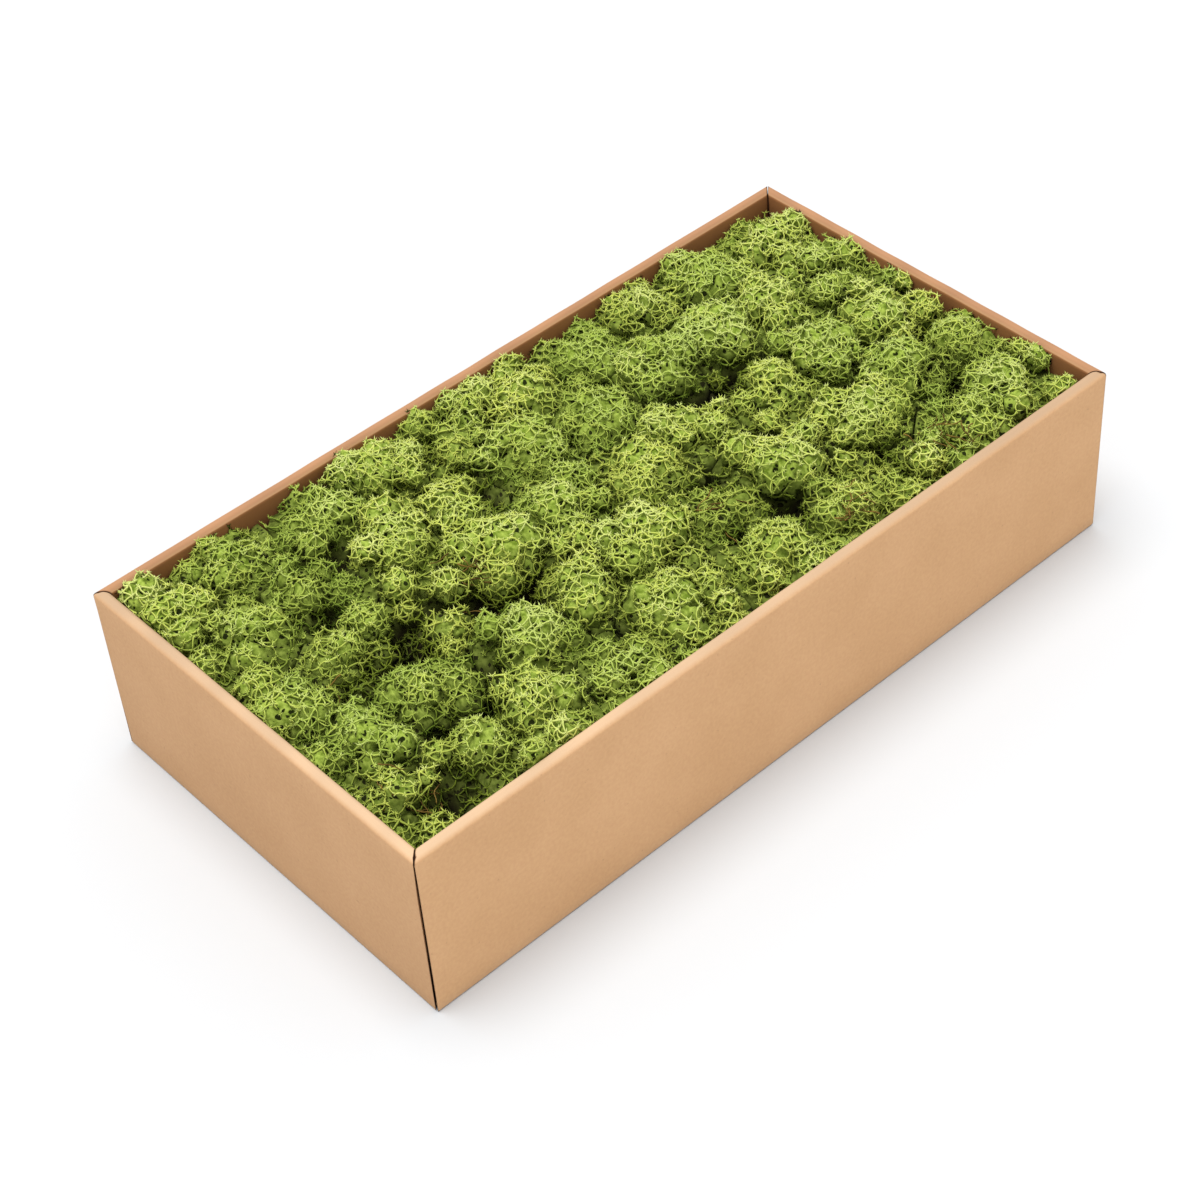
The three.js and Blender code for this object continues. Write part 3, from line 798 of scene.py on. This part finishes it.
young_tips = tip_material()
cushion_tint = moss_draw.uniform(0.15, 0.75, cushion_count)
round_tint = cushion_tint[:, None] + moss_draw.uniform(-0.25, 0.25, (cushion_count, round_count + 1))
round_youth = moss_draw.uniform(0.88, 1.10, (cushion_count, round_count + 1))
for number in range(cushion_count):
    (sites, out, lobe), (runners, runner_lobe) = whorl_sites(number)
    nets, net_site = net_paths(sites, out, moss_draw)
    stars, star_site = star_paths(sites, out, moss_draw)
    site_tint = round_tint[number, lobe] + moss_draw.normal(0, tint_drift, len(sites))
    site_tilt = 1 - np.maximum(out[:, 2], 0)
    runner_tint = round_tint[number, runner_lobe] + runner_yellow
    points, faces, youth, tint, tilt, size = [], [], [], [], [], 0
    for paths, radii, pointed, own_youth, own_lobe, own_tint, own_tilt in (
        (nets, net_radii, False, net_youth,
         lobe[net_site], site_tint[net_site], site_tilt[net_site]),
        (stars, (star_radius,), True, star_youth,
         lobe[star_site], site_tint[star_site], site_tilt[star_site]),
        (runners, runner_radii, True, runner_youth,
         runner_lobe, runner_tint, np.full(len(runners), runner_tilt)),
    ):
        tube_points, tube_faces, each = tubes(paths, radii, pointed)
        points.append(tube_points)
        faces += [group + size for group in tube_faces]
        size += len(tube_points)
        youth.append(np.outer(round_youth[number, own_lobe], own_youth).reshape(-1))
        tint.append(np.repeat(own_tint, each) + np.resize(ring_yellow, each * len(paths)))
        tilt.append(np.repeat(own_tilt, each))
    points = kept_inside(np.concatenate(points))
    mesh = new_mesh(f"moss_tips_{number + 1:02d}", points, faces)
    # Painted shade: darker with depth, with age, and on sides that face away from up.
    shade = 1 - age_shade * shade_and_age_of(points) - tilt_shade * np.concatenate(tilt)
    charted(mesh, np.concatenate(youth) * shade, np.concatenate(tint))
    new_piece(mesh.name, mesh, young_tips)

# Dead bits. A few brown, dry strands of older branches fell into the gaps when the moss was packed,
# and lie there loose.
litter_spots = np.array([
    (-148, -66), (-133, -14), (-68, -2), (18, -46), (100, -68), (48, -76), (-58, -20),
]) * mm
litter_each, litter_spread, litter_depths = 14, 5 * mm, (0.5 * mm, 6 * mm)
litter_length, litter_stations = (6 * mm, 13 * mm), 8
litter_radii = np.linspace(0.34, 0.18, litter_stations - 1) * mm
litter_draw = np.random.default_rng(9)


def litter_paths(spots, draw):
    """Strands lying at random round each spot: a straight line with one sideways arc and a wiggle."""
    count = len(spots) * litter_each
    flat = np.repeat(spots, litter_each, 0) + draw.normal(0, litter_spread, (count, 2))
    shallow, deep = litter_depths
    height = moss_level(*flat.T) - deep + draw.uniform(0, deep - shallow, count)
    turn, tilt = draw.uniform(0, 6.3, count), draw.uniform(-0.45, 0.45, count)
    along = np.stack([np.cos(turn) * np.cos(tilt), np.sin(turn) * np.cos(tilt), np.sin(tilt)], -1)[:, None]
    aside = np.stack([-np.sin(turn), np.cos(turn), 0 * turn], -1)[:, None]
    share = np.linspace(0, 1, litter_stations)[None, :, None]
    length = draw.uniform(*litter_length, (count, 1, 1))
    arc_part = draw.uniform(-0.7, 0.7, length.shape) * share * (1 - share)
    wiggle = 0.04 * np.sin(9 * share + draw.uniform(0, 6.3, length.shape))
    return np.c_[flat, height][:, None] + length * (along * (share - 0.5) + aside * (arc_part + wiggle))


def dead_material():
    """Dead branches: a dull brown that is darker in places."""
    material, tree, shader = new_material("dead_strands", 0.8, 0.15)
    brown = ramp(tree, noise(tree, 160), [(0.35, (0.06, 0.035, 0.006)), (0.65, (0.21, 0.130, 0.025))])
    tree.links.new(brown, shader.inputs["Base Color"])
    return material


litter_points, litter_faces, _ = tubes(litter_paths(litter_spots, litter_draw), litter_radii, True)
litter_mesh = new_mesh("dead_strands", kept_inside(litter_points), litter_faces)
new_piece("dead_strands", litter_mesh, dead_material())

# The studio: a plain pale floor that runs far past the tray.
floor_mesh = bpy.data.meshes.new("studio_floor")
floor_mesh.from_pydata([(-6, -6, 0), (6, -6, 0), (6, 6, 0), (-6, 6, 0)], [], [(0, 1, 2, 3)])
floor = bpy.data.objects.new("studio_floor", floor_mesh)
bpy.context.collection.objects.link(floor)
floor_finish, _, floor_shader = new_material("studio_floor", 0.9, 0.5)
floor_shader.inputs["Base Color"].default_value = (0.502, 0.512, 0.522, 1)
floor_mesh.materials.append(floor_finish)

# Light: an even white room, and a wide soft light from almost straight overhead.
world = bpy.data.worlds.new("white_room")
bpy.context.scene.world = world
world.use_nodes = True
world.node_tree.nodes["Background"].inputs["Color"].default_value = (1, 1, 1, 1)
world.node_tree.nodes["Background"].inputs["Strength"].default_value = 0.95
overhead_light = bpy.data.lights.new("overhead_light", "SUN")
overhead_light.energy = 3.4
overhead_light.angle = math.radians(42)
overhead = bpy.data.objects.new("overhead_light", overhead_light)
overhead.rotation_euler = (math.radians(-4), math.radians(-6), 0)
bpy.context.collection.objects.link(overhead)

# Camera: at the photograph's viewing angle, with its slight turn about the line of sight.
camera_place = (-0.474658, -0.567902, 0.722210)
camera_azimuth, camera_elevation = math.radians(39.22), math.radians(43.61)
camera_roll = math.radians(-4.755)
camera_lens = 80.345
forward = np.array([
    math.sin(camera_azimuth) * math.cos(camera_elevation),
    math.cos(camera_azimuth) * math.cos(camera_elevation),
    -math.sin(camera_elevation),
])
level_right = np.array([math.cos(camera_azimuth), -math.sin(camera_azimuth), 0])
level_up = np.cross(level_right, forward)
right = math.cos(camera_roll) * level_right + math.sin(camera_roll) * level_up
up = np.cross(right, forward)
camera_data = bpy.data.cameras.new("camera")
camera_data.lens = camera_lens
camera_data.sensor_width = 36
camera = bpy.data.objects.new("camera", camera_data)
bpy.context.collection.objects.link(camera)
camera.matrix_world = Matrix([*np.c_[right, up, -forward, camera_place].tolist(), (0, 0, 0, 1)])
bpy.context.scene.camera = camera
bpy.context.scene.view_settings.view_transform = "Standard"
